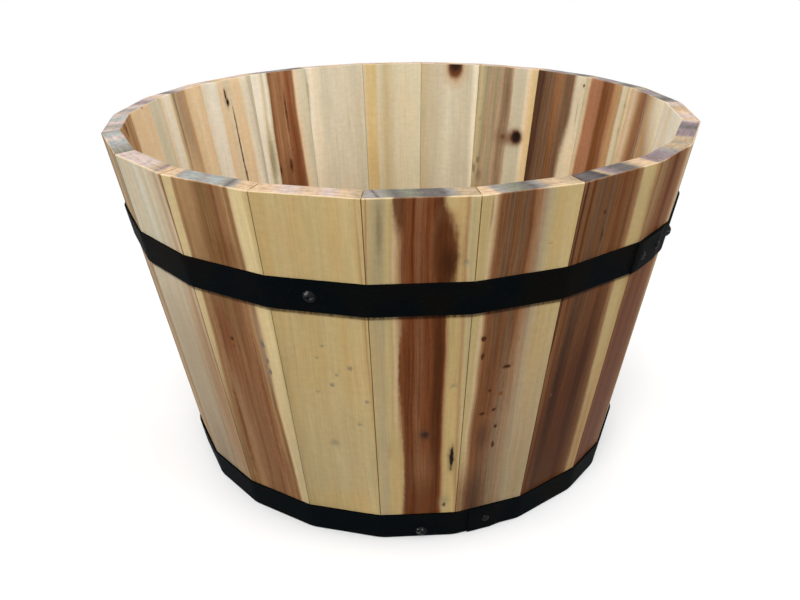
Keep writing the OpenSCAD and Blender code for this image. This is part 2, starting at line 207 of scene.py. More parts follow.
FIGURES = {
    "stave_01": Figure([(-38, TAN), (-36.5, HONEY), (-35.4, STRAW), (-34.4, TAN), (-33.2, STRAW),
        (-26, KHAKI), (-21, STRAW), (-18.6, HONEY), (-16.5, PEACH), (-13.5, TAN), (-11.5, CLAY),
        (-8.5, RUST), (-5.6, RUST), (-5, CHESTNUT), (-4.2, RUST), (-1, CLAY), (4, RUST), (7, RUST),
        (9, CHESTNUT), (14, CHESTNUT), (16.2, RUST), (18, TAN), (20, HONEY), (26.5, HONEY), (29, TAN),
        (31, STRAW), (33, KHAKI), (35, STRAW), (38, HONEY)],
        marks=[(MOSS, -26.5, 20, 4, 30, 0.9, 0.45), (SEPIA, -27, 20, 1.6, 18, 0.9, 0.4),
        (CHESTNUT, -14, 4, 4.6, 24, 0.6, 0.9), (MOSS, 20.9, 276, 5, 9, 0.9, 0.5),
        (FAWN, 17, 42, 10.6, 37, 0.6, 0.6), (HONEY, 19, 2, 5, 9, 0.6, 0.9),
        (CHESTNUT, 15.5, 43, 9, 33, 0.35, 0.95), (UMBER, 17.5, 49, 6, 16, 0.9, 1),
        (RUST, -11, 138, 4.4, 42, 0.4, 0.95), (CHESTNUT, -9, 165, 3, 76, 0.7, 0.7),
        (CLAY, 2, 238, 10, 26, 0.9, 0.6), (CHESTNUT, -1, 278, 13, 34, 0.9, 0.75),
        (CHESTNUT, -9, 258, 3, 50, 0.8, 0.6), (HONEY, -15.5, 245, 4.6, 58, 0.4, 0.9),
        (CHESTNUT, 2, 140, 11, 80, 0.9, 0.2), (UMBER, 13.4, 160, 3.4, 90, 0.8, 0.6),
        (PLUM, 4.6, 200, 5.4, 6, 0.9, 0.8), (TAR, 4.8, 200, 3, 3.4, 0.8, 0.7),
        (UMBER, 25, 226, 3, 15, 0.9, 0.6), (TAR, 25.4, 226, 1.6, 13, 0.4, 1),
        (UMBER, 20.9, 278.5, 1.6, 2.6, 0.5, 0.8), (MOSS, 29.5, 49, 2.6, 3.4, 0.9, 0.6),
        (MOSS, 25, 154, 3, 3, 0.8, 0.5), (TAN, -22, 215, 3, 10, 0.9, 0.5)],
        ends=[(-38, DOVE), (-28, DOVE), (-26.6, LEAD), (-24, DOVE), (-18, LICHEN), (-15, LEAD), (-6, LICHEN),
        (4, LEAD), (15, LEAD), (20, DOVE), (26, SAND), (38, SAND)]),
    "stave_02": Figure([(-38, HONEY), (-29, STRAW), (-26.5, PEACH), (-24.6, TAN), (-22.8, CLAY),
        (-19, WALNUT), (-14, SMOKE), (-10, WALNUT), (-4, SMOKE), (-1, WALNUT), (2, CLAY), (5, FAWN),
        (9, BUFF), (13, KHAKI), (20, HONEY), (29, STRAW), (38, HONEY)],
        marks=[(FAWN, -28, 12, 0.7, 14, 0.6, 0.7), (RUST, -13, 180, 9, 80, 0.9, 0.6),
        (SAND, 22, 230, 30, 130, 0.9, 0.8), (MOSS, 24, 290, 30, 90, 0.9, 0.35),
        (UMBER, -22.9, 112.8, 2, 2.5, 0.5, 0.95), (UMBER, -22.2, 128.5, 1.5, 3.6, 0.5, 0.9),
        (UMBER, -1.4, 142.2, 3.4, 1.8, 0.6, 1), (UMBER, -12.7, 162.3, 1.3, 1.8, 0.5, 0.85),
        (RUST, -3.5, 167.2, 2.1, 2.2, 0.6, 0.9), (UMBER, -16.7, 184.2, 2.8, 1.9, 0.5, 0.9),
        (UMBER, -7.1, 182.2, 2, 1.8, 0.5, 0.9), (UMBER, -3.9, 199.8, 1.6, 2.2, 0.5, 0.9),
        (UMBER, -4.1, 218.7, 1.5, 4, 0.5, 0.9), (PLUM, -14.5, 208, 6, 15, 0.9, 0.6),
        (FAWN, -28, 272, 6, 44, 0.9, 0.85), (PLUM, -17, 274, 10, 30, 0.9, 0.75),
        (FAWN, 17.9, 42, 2.4, 1, 0.6, 0.5)],
        ends=[(-38, PEAR), (-25, PEAR), (-22, DOVE), (-10, LICHEN), (2, LEAD), (9, DOVE), (13, SAND),
        (22, PEAR), (28, SAND), (38, SAND)]),
    "stave_03": Figure([(-40, WALNUT), (-38, CLAY), (-36, UMBER), (-34, CLAY), (-31, WALNUT),
        (-29.5, CHESTNUT), (-27, WALNUT), (-20, SMOKE), (-14, WALNUT), (-10, SMOKE), (-4, WALNUT),
        (0, WALNUT), (4, RUST), (7, WALNUT), (13, WALNUT), (18, FAWN), (21.5, STRAW), (29, STRAW),
        (33, HONEY), (36, TAN), (40, FAWN)],
        marks=[(UMBER, -19, 190, 8, 125, 0.9, 0.95), (CHESTNUT, -7, 190, 8, 115, 0.9, 0.9),
        (UMBER, 6, 190, 11, 122, 0.8, 0.95), (TAR, -21, 195, 3, 90, 0.9, 0.5),
        (UMBER, -8, 260, 30, 100, 0.9, 0.65), (TAN, 29, 260, 12, 120, 0.9, 0.8),
        (WALNUT, 15.5, 235, 7, 110, 0.6, 0.9), (UMBER, 11, 245, 9, 90, 0.9, 0.7),
        (UMBER, -12.1, 27.5, 1.3, 2.2, 0.5, 0.8), (UMBER, -9.1, 45.9, 1.4, 6, 0.5, 0.7),
        (RUST, -23.3, 182.6, 1.5, 1.6, 0.5, 0.8), (UMBER, -23.5, 198.7, 1.4, 2.4, 0.5, 0.8)],
        ends=[(-40, SOOT), (-30, LEAD), (-17, SOOT), (-13, SAND), (-8, MAUVE), (2, LEAD), (12, LEAD),
        (18, SAND), (24, PEAR), (33, PEAR), (36, MAUVE), (40, MAUVE)]),
    "stave_04": Figure([(-30, FAWN), (-27, WALNUT), (-20, RUST), (-14, CHESTNUT), (-9, WALNUT), (-3, RUST),
        (0, CHESTNUT), (3, RUST), (6, WALNUT), (12, CLAY), (17, CLAY), (22, TAN), (26, BLUSH), (30, TAN)],
        marks=[(RUST, 0, 180, 18, 130, 0.9, 0.8), (CHESTNUT, 0, 230, 26, 130, 0.9, 0.85),
        (TAN, -24, 25, 14, 70, 0.9, 0.8), (WALNUT, 24, 240, 12, 130, 0.9, 0.85)],
        ends=[(-30, MAUVE), (-10, MAUVE), (4, DOVE), (10, SAND), (22, SAND), (30, DOVE)]),
    "stave_05": Figure([(-40, KHAKI), (-30, CREAM), (-14, KHAKI), (-10, CREAM), (4, PEACH), (16, CREAM),
        (30, IVORY), (40, CREAM)],
        marks=[(TAN, -6, 120, 3, 120, 0.9, 0.4)],
        ends=[(-40, SAND), (-22, SAND), (-14, MAUVE), (4, MAUVE), (14, LEAD), (28, MAUVE), (36, CHALK),
        (40, PEAR)]),
    "stave_06": Figure([(-38, IVORY), (-26, BONE), (-10, BONE), (2, BONE), (10, IVORY), (20, BONE),
        (32, BONE), (38, IVORY)],
        face_in=STAVE_THICK),
    "stave_07": Figure([(-38, LINEN), (-29, KHAKI), (-20, BUFF), (-10, TAN), (-3, BUFF), (3, CLAY),
        (8, CLAY), (16, TAN), (24, BLUSH), (32, PEACH), (38, CREAM)],
        marks=[(UMBER, -1, 60, 1, 50, 0.6, 0.5), (IVORY, -36, 4, 27, 50, 0.6, 0.95)],
        ends=GREY_ENDS, face_in=STAVE_THICK),
    "stave_08": Figure([(-38, STRAW), (-33, CREAM), (-29, KHAKI), (-26, OAT), (-21.5, LINEN), (-19.5, TAN),
        (-14, TAN), (-9, SIENNA), (-6, WALNUT), (-2, WALNUT), (3, RUST), (8, WALNUT), (10.5, SIENNA),
        (18, SIENNA), (25, SIENNA), (29, PEACH), (31, OAT), (38, LINEN)],
        marks=[(MOSS, -29, 20, 1, 3, 0.6, 0.8), (MOSS, -27.5, 45, 0.9, 4, 0.6, 0.7)],
        ends=GREY_ENDS, face_in=STAVE_THICK),
    "stave_09": Figure([(-38, STRAW), (-31, OAT), (-28, LINEN), (-21, LINEN), (-18, BUFF), (-15, SMOKE),
        (-6, SMOKE), (-2, SMOKE), (4, WALNUT), (8, SMOKE), (15, SMOKE), (20, SMOKE), (25, PLUM), (31, PLUM),
        (38, UMBER)],
        marks=[(FAWN, 2, 18, 8, 60, 0.9, 0.6), (CREAM, -23.5, 114, 13, 71, 0.4, 0.95),
        (UMBER, -29.4, 10.9, 1.5, 2, 0.5, 0.95), (MOSS, -26, 40, 0.8, 14, 0.6, 0.7)],
        ends=GREY_ENDS, face_in=STAVE_THICK, wander=1.6),
    "stave_10": Figure([(-40, STRAW), (-33, STRAW), (-28, PEACH), (-25, CREAM), (-21, PUTTY), (-8, PUTTY),
        (-5.5, BUFF), (-2, SEPIA), (3, SEPIA), (8, BUFF), (14, MOSS), (20, BUFF), (26, MOSS), (33, KHAKI),
        (40, MOSS)],
        marks=[(SEPIA, -4, 74, 12, 24, 0.9, 0.3), (SMOKE, -6, 79, 15, 9, 0.9, 0.85),
        (SMOKE, -3, 40, 4, 40, 0.9, 0.5), (WALNUT, -17.5, 77, 9.5, 11, 0.8, 0.85),
        (UMBER, -17.8, 77, 7.6, 8.8, 0.6, 1), (TAR, -18, 77, 5.6, 6.8, 0.6, 1),
        (CHESTNUT, -1.5, 78, 3, 3, 0.7, 0.7), (MOSS, 29, 62, 3, 4, 0.6, 0.7),
        (SMOKE, 27, 108, 2.4, 4, 0.6, 0.7), (SMOKE, 31, 118, 2, 6, 0.6, 0.7),
        (SMOKE, 24, 126, 4, 8, 0.8, 0.6), (MOSS, 24, 20, 1.2, 3, 0.6, 0.6),
        (MOSS, 18, 100, 2, 16, 0.7, 0.4)],
        face_in=STAVE_THICK, wander=2),
    "stave_11": Figure([(-38, OAT), (-33, LINEN), (-29, IVORY), (-24, PUTTY), (-12, PUTTY), (2, LINEN),
        (14, PUTTY), (38, KHAKI)],
        marks=[(TAN, -6.3, 6, 15, 22, 0.7, 0.75), (CHESTNUT, -6.3, 5, 9.6, 14, 0.4, 1),
        (TAR, -6.3, 2, 7.6, 9, 0.6, 0.9)],
        face_in=STAVE_THICK),
    "stave_12": Figure([(-38, OAT), (-20, OAT), (-4, OAT), (8, KHAKI), (16, OAT), (20, STRAW), (29, STRAW),
        (32, OAT), (38, OAT)],
        marks=[(HONEY, 24.5, 120, 7, 40, 0.6, 0.8)],
        face_in=STAVE_THICK),
    "stave_13": Figure([(-38, LINEN), (-24, PUTTY), (-10, LINEN), (2, LINEN), (16, LINEN), (26, IVORY),
        (34, BONE), (38, LINEN)],
        marks=[(MOSS, 33, 28, 2.4, 26, 0.9, 0.7), (OAT, -12, 60, 3, 60, 0.8, 0.6)],
        face_in=STAVE_THICK),
    "stave_14": Figure([(-38, PUTTY), (-30, OAT), (-24, LINEN), (-19, APRICOT), (-16.2, CLAY), (-14, CLAY),
        (-10, RUST), (-6, CLAY), (-2, FAWN), (2, CLAY), (7, FAWN), (10.5, CLAY), (13.5, WALNUT), (15, OAT),
        (18, BONE), (21.5, OAT), (24, IVORY), (27, BONE), (38, BONE)],
        marks=[(UMBER, -3.2, 45, 1.4, 24, 0.8, 0.85), (UMBER, -0.3, 106, 2.1, 9, 0.7, 0.95),
        (RUST, -8, 90, 6, 60, 0.9, 0.6), (CHESTNUT, -2, 140, 14, 50, 0.9, 0.6),
        (UMBER, 13.6, 109, 1.3, 7, 0.6, 0.85), (MOSS, 21.5, 96, 5, 36, 0.8, 0.85)],
        ends=GREY_ENDS, face_in=STAVE_THICK),
    "stave_15": Figure([(-38, OAT), (-30, PUTTY), (-26, BONE), (-19, IVORY), (-17, APRICOT), (-8, APRICOT),
        (0, CREAM), (12.5, APRICOT), (15, BONE), (25, BONE), (34, IVORY), (38, TAN)],
        marks=[(WALNUT, 4, 21, 3, 11, 0.9, 0.5), (UMBER, 4.5, 17.5, 1.2, 7, 0.6, 1),
        (TAR, 3.1, 25, 2.2, 4.2, 0.7, 1), (CHESTNUT, -2.2, 72, 1.1, 46, 0.6, 0.95),
        (CHESTNUT, -2.8, 104, 1.4, 14, 0.6, 0.9), (PUTTY, -26, 60, 3, 60, 0.9, 0.5)],
        face_in=STAVE_THICK),
    "stave_16": Figure([(-38, BUFF), (-34, PEACH), (-20, APRICOT), (-9, PEACH), (-5, TAN), (0, BUFF),
        (4.6, BUFF), (7, TAN), (9, DRIFTWOOD), (11, SEPIA), (13.5, DRIFTWOOD), (15.5, PEACH), (17, IVORY),
        (24, BONE), (33, APRICOT), (38, PEACH)],
        marks=[(PEACH, 5, 120, 13, 60, 0.9, 0.8)],
        ends=[(-38, PEAR), (-12, CHALK), (2, DOVE), (10, LEAD), (18, CHALK), (38, PEAR)],
        face_in=STAVE_THICK),
    "stave_17": Figure([(-38, BONE), (-33, LINEN), (-22, OAT), (-12, LINEN), (-6, APRICOT), (4, APRICOT),
        (20, APRICOT), (30, APRICOT), (38, PEACH)],
        marks=[(RUST, 7.6, 1, 3, 3, 0.8, 0.7), (PEACH, -2, 26, 5, 26, 0.9, 0.7)],
        ends=[(-38, CHALK), (-14, MAUVE), (2, CHALK), (20, DOVE), (38, CHALK)],
        face_in=STAVE_THICK),
    "stave_18": Figure([(-34, TAN), (-31, FAWN), (-26, TAN), (-12, FAWN), (0, TAN), (12, FAWN), (20, TAN),
        (34, FAWN)],
        marks=[(UMBER, 5, 9, 4, 6, 0.9, 0.9), (CHESTNUT, 9.5, 4, 2.4, 3.4, 0.6, 0.9)],
        ends=[(-34, CHALK), (-14, MIST), (2, CHALK), (12, DOVE), (34, CHALK)],
        face_in=STAVE_THICK),
    "stave_19": Figure([(-38, SMOKE), (-20, TAN), (-4, KHAKI), (10, TAN), (22, FAWN), (30, KHAKI),
        (38, SMOKE)],
        ends=[(-38, DOVE), (-20, MIST), (-8, CHALK), (6, MIST), (20, DOVE), (38, LICHEN)]),
    "stave_20": Figure([(-36, LINEN), (-32, IVORY), (-10, IVORY), (-4, BONE), (2, IVORY), (6, CREAM),
        (10, IVORY), (15, CREAM), (20, BLUSH), (25, DRIFTWOOD), (30, BLUSH), (33, FAWN), (36, TAN)],
        # The broad BUFF and SEPIA patches low on this stave are painted shade: the wood darkens towards the
        # foot.
        marks=[(BUFF, -4, 240, 44, 150, 0.9, 0.7), (SEPIA, 0, 305, 44, 80, 0.9, 0.5),
        (DRIFTWOOD, -4, 160, 26, 60, 0.9, 0.6), (FAWN, 24, 200, 16, 115, 0.9, 0.7),
        (FAWN, 8, 230, 2, 70, 0.9, 0.5)],
        ends=[(-38, CHALK), (-20, CHALK), (-2, CHALK), (12, CHALK), (22, SAND), (27, MAUVE), (31, PEAR),
        (38, PEAR)]),
    "stave_21": Figure([(-39, FAWN), (-37, BUTTER), (-30, BUTTER), (-28.6, TAN), (-27, FAWN), (-25, TAN),
        (-21, TAN), (-15, TAN), (-11, FAWN), (-6, TOBACCO), (2, TOBACCO), (7, CLAY), (10, FAWN), (14, FAWN),
        (17.5, TAN), (20, TOBACCO), (21.6, FAWN), (22.8, PEACH), (24.5, BUTTER), (33, BUTTER), (36, STRAW),
        (39, HONEY)],
        marks=[(CLAY, -6, 200, 26, 130, 0.9, 0.7), (RUST, -15, 122, 9, 50, 0.9, 0.8),
        (TAN, -32, 240, 8, 90, 0.7, 0.7), (TOBACCO, -30, 285, 10, 90, 0.8, 0.85),
        (KHAKI, 31, 270, 8, 120, 0.9, 0.75), (TOBACCO, -4, 60, 22, 50, 0.9, 0.5),
        (WALNUT, 17, 268, 6, 44, 0.8, 0.6), (BUFF, 20, 130, 4, 44, 0.9, 0.7),
        (RUST, -23, 225, 2.4, 55, 0.7, 0.8), (RUST, 11, 190, 2.2, 70, 0.8, 0.7),
        (UMBER, -9.5, 129, 2.2, 2.4, 0.6, 0.9), (RUST, -9.5, 136, 1.8, 2, 0.6, 0.9),
        # The soft WALNUT patch just above the upper hoop is painted shade.
        (WALNUT, 5, 52, 14, 17, 0.95, 0.75), (LEAD, 20.5, 126, 2, 3.2, 0.8, 0.8),
        (LEAD, 21.6, 141, 1.7, 2.8, 0.8, 0.8), (LEAD, 22, 151, 1.5, 3, 0.7, 0.9)],
        ends=[(-39, PEAR), (-27, PEAR), (-24, DOVE), (-14, MIST), (-4, DOVE), (8, MIST), (17, DOVE),
        (21, LEAD), (25, DOVE), (29, PEAR), (39, PEAR)]),
    "stave_22": Figure([(-38, STRAW), (-34, HONEY), (-20, STRAW), (-6, HONEY), (4, STRAW), (16, HONEY),
        (26, STRAW), (31, HONEY), (32.3, TAN), (33.4, HONEY), (38, STRAW)],
        marks=[(STRAW, 24, 8, 14, 20, 0.9, 0.5), (KHAKI, 4, 235, 40, 75, 0.9, 0.6),
        (HONEY, 2, 284, 34, 22, 0.8, 0.8), (MOSS, -0.8, 119, 1.7, 1.7, 0.8, 0.7),
        (MOSS, -5.8, 130, 1.6, 1.5, 0.8, 0.7), (LEAD, 18.2, 136, 2.2, 2.2, 0.9, 0.6),
        (MOSS, 7.7, 144, 1.8, 1.8, 0.8, 0.7), (LEAD, 3, 153.5, 2.2, 2, 0.9, 0.6),
        (MOSS, -8.7, 162, 1.8, 1.7, 0.8, 0.6), (LEAD, 28.4, 166, 2, 1.9, 0.9, 0.65),
        (MOSS, 21.1, 190, 2, 1.9, 0.8, 0.8), (MOSS, -1, 214, 4.4, 5.4, 0.9, 0.6)],
        ends=[(-38, PEAR), (-24, PEAR), (-12, CHALK), (4, PEAR), (16, CHALK), (25, PEAR), (34, SAND),
        (38, SAND)]),
    "floor_board_1": Figure([(-40, STRAW), (-18, HONEY), (-4, TAN), (6, FAWN), (12, CLAY), (20, TAN),
        (40, PEACH)],
        marks=[(UMBER, -20, 70, 2, 3, 0.5, 0.9)],
        ends=GREY_ENDS),
    "floor_board_2": Figure([(-40, CLAY), (-30, WALNUT), (-16, RUST), (-8, WALNUT), (2, FAWN), (8, TAN),
        (12, CREAM), (40, STRAW)],
        marks=[(TAN, 22, 120, 4, 60, 0.9, 0.5)],
        ends=GREY_ENDS),
    "floor_board_3": Figure([(-40, CREAM), (-20, KHAKI), (0, HONEY), (16, KHAKI), (26, TAN), (32, FAWN),
        (40, CLAY)],
        marks=[(UMBER, 24, 240, 3, 4, 0.5, 0.9), (WALNUT, 24, 240, 6, 9, 0.9, 0.6)]),
    "floor_board_4": Figure([(-40, FAWN), (-26, CLAY), (-18, TAN), (-10, PEACH), (8, BLUSH), (30, PEACH),
        (40, TAN)],
        marks=[(MOSS, 10, 90, 3, 40, 0.8, 0.6)]),
    "floor_board_5": Figure([(-40, KHAKI), (-14, HONEY), (0, FAWN), (10, WALNUT), (22, SMOKE), (30, FAWN),
        (40, STRAW)],
        marks=[(UMBER, -10, 130, 1.6, 8, 0.5, 0.8)],
        ends=GREY_ENDS),
    "batten_left": Figure([(-40, TAN), (-14, PEACH), (-2, STRAW), (8, TAN), (18, FAWN), (40, CLAY)]),
    "batten_right": Figure([(-40, CLAY), (-12, FAWN), (-4, WALNUT), (6, TAN), (16, CREAM), (40, STRAW)]),
}

# ------ materials

# The patterns: a grain's size in mm across, inwards and along, the noise's detail and roughness, and
# the part of it that is spread over 0 to 1
STRAYS = {
    "stray": ((70, 60, 110), 1, 0.5, 0.3, 0.7),
    "ragged": ((5, 5, 22), 2, 0.5, 0.3, 0.7),
}
GROWTH = {
    "drift": ((15, 15, 90), 2, 0.5, 0.3, 0.7),
    "line": ((2.8, 2.8, 150), 3, 0.6, 0.44, 0.68),
    "fibre": ((0.9, 0.9, 40), 3, 0.6, 0.3, 0.7),  # real fibres are finer and wouldn't show
    "pore": ((0.6, 0.6, 6), 0, 0.5, 0.68, 0.8),
}
SURFACE = {
    "mottle": ((7, 7, 4), 3, 0.55, 0.3, 0.7),
    "fray": ((2.2, 2.2, 5), 2, 0.6, 0.3, 0.7),
    "ring": ((16, 2.2, 40), 2, 0.5, 0.35, 0.65),
    "saw": ((1.6, 5, 40), 2, 0.5, 0.35, 0.65),
    "smudge": ((5, 5, 20), 2, 0.5, 0.45, 0.75),
}
COAT = {
    "drift": ((60, 60, 60), 2, 0.5, 0.35, 0.65),
    "peel": ((1.6, 1.6, 1.6), 2, 0.5, 0.3, 0.7),
    "scuff": ((5, 5, 1.4), 3, 0.6, 0.62, 0.8),
    "dust": ((0.8, 0.8, 0.8), 1, 0.5, 0.7, 0.8),
    "rub_and_glint": ((3.4, 3.4, 2), 1, 0.5, 0.52, 0.68),
}
# How far apart two boards and two patterns are in the noise, in grains
SEED_STEP = (7.3, 0, 3.1)
PATTERN_STEP = (3.7, 1.7, 0)

# A Mix node's inputs for colours, and its settings for laying one over another and for tinting it
SHARE, UNDER, OVER = 0, 6, 7
LAY = {"out": 2, "data_type": "RGBA"}
TINT = {"out": 2, "data_type": "RGBA", "blend_type": "MULTIPLY"}


def add(tree, kind, inputs=None, out=0, stops=None, **settings):
    """Adds a shader node with its settings and returns one of its outputs. Inputs are values or
    sockets, and stops are a ramp's."""
    node = tree.nodes.new("ShaderNode" + kind)
    for key, value in settings.items():
        setattr(node, key, value)
    for key, value in (inputs or {}).items():
        if isinstance(value, bpy.types.NodeSocket):
            tree.links.new(value, node.inputs[key])
        else:
            node.inputs[key].default_value = value
    if stops:
        ramp = node.color_ramp
        while len(ramp.elements) < len(stops):
            ramp.elements.new(1)
        for element, (position, colour) in zip(ramp.elements, stops):
            element.position = position
            element.color = colour
    return node.outputs[out] if node.outputs else None


def new_material(name):
    material = bpy.data.materials.new(name)
    material.use_nodes = True
    material.node_tree.nodes.clear()
    return material, material.node_tree


def draw_patterns(tree, at, seed, patterns):
    """Draws each pattern as stretched noise from 0 to 1. Returns them by name."""
    drawn = {}
    for order, (name, (size, detail, coarse, low, high)) in enumerate(patterns.items()):
        apart = tuple(seed * board + order * pattern for board, pattern in zip(SEED_STEP, PATTERN_STEP))
        spot = add(tree, "VectorMath", {0: at, 1: tuple(1 / s for s in size), 2: apart},
                   operation="MULTIPLY_ADD")
        field = add(tree, "TexNoise", {"Vector": spot, "Scale": 1, "Detail": detail, "Roughness": coarse})
        drawn[name] = add(tree, "MapRange", {"Value": field, "From Min": low, "From Max": high})
    return drawn


def draw_mask(tree, *limits):
    """Multiplies shares. Each limit is a value, the range that it runs over, and the shares at that
    range's two ends."""
    mask = None
    for value, (start, stop), (first, last) in limits:
        share = add(tree, "MapRange", {"Value": value, "From Min": start, "From Max": stop,
                                       "To Min": first, "To Max": last})
        if mask is not None:
            share = add(tree, "Math", {0: mask, 1: share}, operation="MULTIPLY")
        mask = share
    return mask


RAGGED = 0.3  # mm that the edges of the bands fray to each side
MARK_FRAY = 1.1  # mm that the edge of a mark frays
MOST_FRAY = 0.5  # of a mark's half width


class Grain:
    """What a board's wood is drawn from, as sockets: the place on its own axes in mm, the place
    across its bands from 0 to 1, the face's normal, and the patterns."""

    def __init__(self, tree, board, figure, seed):
        self.at = add(tree, "Mapping",
                      {"Vector": add(tree, "TexCoord", out="Object"), "Location": board.origin,
                       "Rotation": board.turn.to_euler(), "Scale": (MM, MM, MM)}, vector_type="TEXTURE")
        across, self.inwards, self.along = [
            add(tree, "SeparateXYZ", {0: self.at}, out=axis) for axis in range(3)]
        self.normal = add(tree, "NewGeometry", out="Normal")

        # The bands stray a little as they run down the board, and shift as they go into it
        stray = draw_patterns(tree, self.at, seed, STRAYS)
        moved = add(tree, "Math", {0: stray["stray"], 1: 2 * figure.wander, 2: across},
                    operation="MULTIPLY_ADD")
        moved = add(tree, "Math", {0: stray["ragged"], 1: 2 * RAGGED, 2: moved}, operation="MULTIPLY_ADD")
        moved = add(tree, "Math", {0: self.inwards, 1: figure.slant, 2: moved}, operation="MULTIPLY_ADD")
        settled = figure.wander + RAGGED + figure.slant * figure.face_in
        moved = add(tree, "Math", {0: moved, 1: settled}, operation="SUBTRACT")
        self.place = add(tree, "MapRange", {"Value": moved, "From Min": -HALF_BAND, "From Max": HALF_BAND})
        grown = add(tree, "CombineXYZ", {0: moved, 1: self.inwards, 2: self.along})
        self.growth = draw_patterns(tree, grown, seed, GROWTH)
        self.surface = draw_patterns(tree, self.at, seed, SURFACE)


def draw_bands(tree, grain, bands):
    """Draws bands of tone side by side, each running softly into the next."""
    stops = [((mm + HALF_BAND) / (2 * HALF_BAND), linear(tone)) for mm, tone in bands]
    return add(tree, "ValToRGB", {0: grain.place}, stops=stops)


def add_marks(tree, grain, colour, marks):
    """Lays marks over a colour: knots, cracks, stain marks, the flecks that insects leave, and a few
    soft patches of painted shade. Small ones fray the most."""
    for mark in marks:
        size = (1 / mark.half_width, 0, 1 / mark.half_length)
        shift = (-mark.across / mark.half_width, 0, mark.down / mark.half_length)
        spot = add(tree, "VectorMath", {0: grain.at, 1: size, 2: shift}, operation="MULTIPLY_ADD")
        reach = add(tree, "VectorMath", {0: spot}, out="Value", operation="LENGTH")
        fray = min(MOST_FRAY, MARK_FRAY / mark.half_width)
        reach = add(tree, "Math", {0: grain.surface["fray"], 1: fray, 2: reach}, operation="MULTIPLY_ADD")
        near = add(tree, "MapRange",
                   {"Value": reach, "From Min": 1 + (fray + mark.softness) / 2,
                    "From Max": 1 + fray / 2 - mark.softness, "To Max": mark.strength},
                   interpolation_type="SMOOTHSTEP")
        colour = add(tree, "Mix", {SHARE: near, UNDER: colour, OVER: linear(mark.tone)}, **LAY)
    return colour


ALL = (0, 1)  # the whole range of a pattern or a share
SAPWOOD_LIGHT = 0.42  # the lightness of a tone that counts as sapwood
HEARTWOOD_LIGHT = 0.14  # and of one that counts as heartwood
# How strongly the growth's patterns show, on sapwood and on heartwood
STRENGTHS = {"line": (0.1, 0.5), "fibre": (0.12, 0.42), "pore": (0.08, 0.4)}
FIBRE_MEAN = 0.55  # fibres below this darken the wood, and those above it lighten it
DRIFT_SHARE = 0.6
SMUDGE_SHARE = 0.32
# What the mottle, and on sawn ends the growth rings and the saw marks, multiply the wood's tone by
MOTTLE = (0.955, 1.045)
RINGS = (0.78, 1.02)
SAW_MARKS = (0.93, 1.03)


def planed_wood(tree, grain, figure):
    """The wood along its grain: bands, drifts between greyer and warmer wood, growth lines, fibres,
    a faint mottle, pores and marks. Also returns how dark it is, from 0 at sapwood to 1 at
    heartwood, because lines, fibres and pores show most in the heartwood."""
    stains_and_shade = [mark for mark in figure.marks if mark.half_length > STAIN_SIZE]
    knots = [mark for mark in figure.marks if mark.half_length <= STAIN_SIZE]
    tone = add_marks(tree, grain, draw_bands(tree, grain, figure.bands), stains_and_shade)
    heart = add(tree, "MapRange", {"Value": add(tree, "RGBToBW", {0: tone}),
                                   "From Min": SAPWOOD_LIGHT, "From Max": HEARTWOOD_LIGHT})
    strengths = {name: add(tree, "MapRange", {"Value": heart, "To Min": sapwood, "To Max": heartwood})
                 for name, (sapwood, heartwood) in STRENGTHS.items()}

    drift = add(tree, "ValToRGB", {0: grain.growth["drift"]},
                stops=[(0, linear(GREY_TINT)), (0.5, linear(PLAIN_TINT)), (1, linear(WARM_TINT))])
    colour = add(tree, "Mix", {SHARE: DRIFT_SHARE, UNDER: tone, OVER: drift}, **TINT)
    share = add(tree, "Math", {0: grain.growth["line"], 1: strengths["line"]}, operation="MULTIPLY")
    colour = add(tree, "Mix", {SHARE: share, UNDER: colour, OVER: linear(LINE_TINT)}, **TINT)

    shade = add(tree, "Math", {0: grain.growth["fibre"], 1: FIBRE_MEAN}, operation="SUBTRACT")
    shade = add(tree, "Math", {0: shade, 1: strengths["fibre"], 2: 1.0}, operation="MULTIPLY_ADD")
    low, high = MOTTLE
    mottle = add(tree, "MapRange", {"Value": grain.surface["mottle"], "To Min": low, "To Max": high})
    shade = add(tree, "Math", {0: shade, 1: mottle}, operation="MULTIPLY")
    shade = add(tree, "CombineColor", {0: shade, 1: shade, 2: shade})
    colour = add(tree, "Mix", {SHARE: 1.0, UNDER: colour, OVER: shade}, **TINT)

    share = add(tree, "Math", {0: grain.growth["pore"], 1: strengths["pore"]}, operation="MULTIPLY")
    colour = add(tree, "Mix", {SHARE: share, UNDER: colour, OVER: linear(UMBER)}, **LAY)
    return add_marks(tree, grain, colour, knots), heart


def looks_along(tree, grain, way):
    """How squarely a face looks along a direction or against it, from 0 to 1."""
    cosine = add(tree, "VectorMath", {0: grain.normal, 1: way}, out="Value", operation="DOT_PRODUCT")
    return add(tree, "Math", {0: cosine}, operation="ABSOLUTE")


def sawn_end(tree, grain, figure):
    """A sawn end: the heartwood has gone grey and the sapwood peach, with growth rings, saw marks
    and smudges."""
    tone = draw_bands(tree, grain, figure.ends)
    shade = draw_mask(tree, (grain.surface["ring"], ALL, RINGS), (grain.surface["saw"], ALL, SAW_MARKS))
    shade = add(tree, "CombineColor", {0: shade, 1: shade, 2: shade})
    tone = add(tree, "Mix", {SHARE: 1.0, UNDER: tone, OVER: shade}, **TINT)
    share = add(tree, "Math", {0: grain.surface["smudge"], 1: SMUDGE_SHARE}, operation="MULTIPLY")
    return add(tree, "Mix", {SHARE: share, UNDER: tone, OVER: linear(SMUDGE_TINT)}, **TINT)


# The dust and painted shade in a joint, by how squarely a face looks sideways and by its depth in mm
TURNS_ASIDE = (0.25, 0.95)
ASIDE_SHARE = (0, 0.65)
JOINT_SHADE_DEPTH = (STAVE_THICK, STAVE_THICK - 3)
DEPTH_SHARE = (0.2, 1)


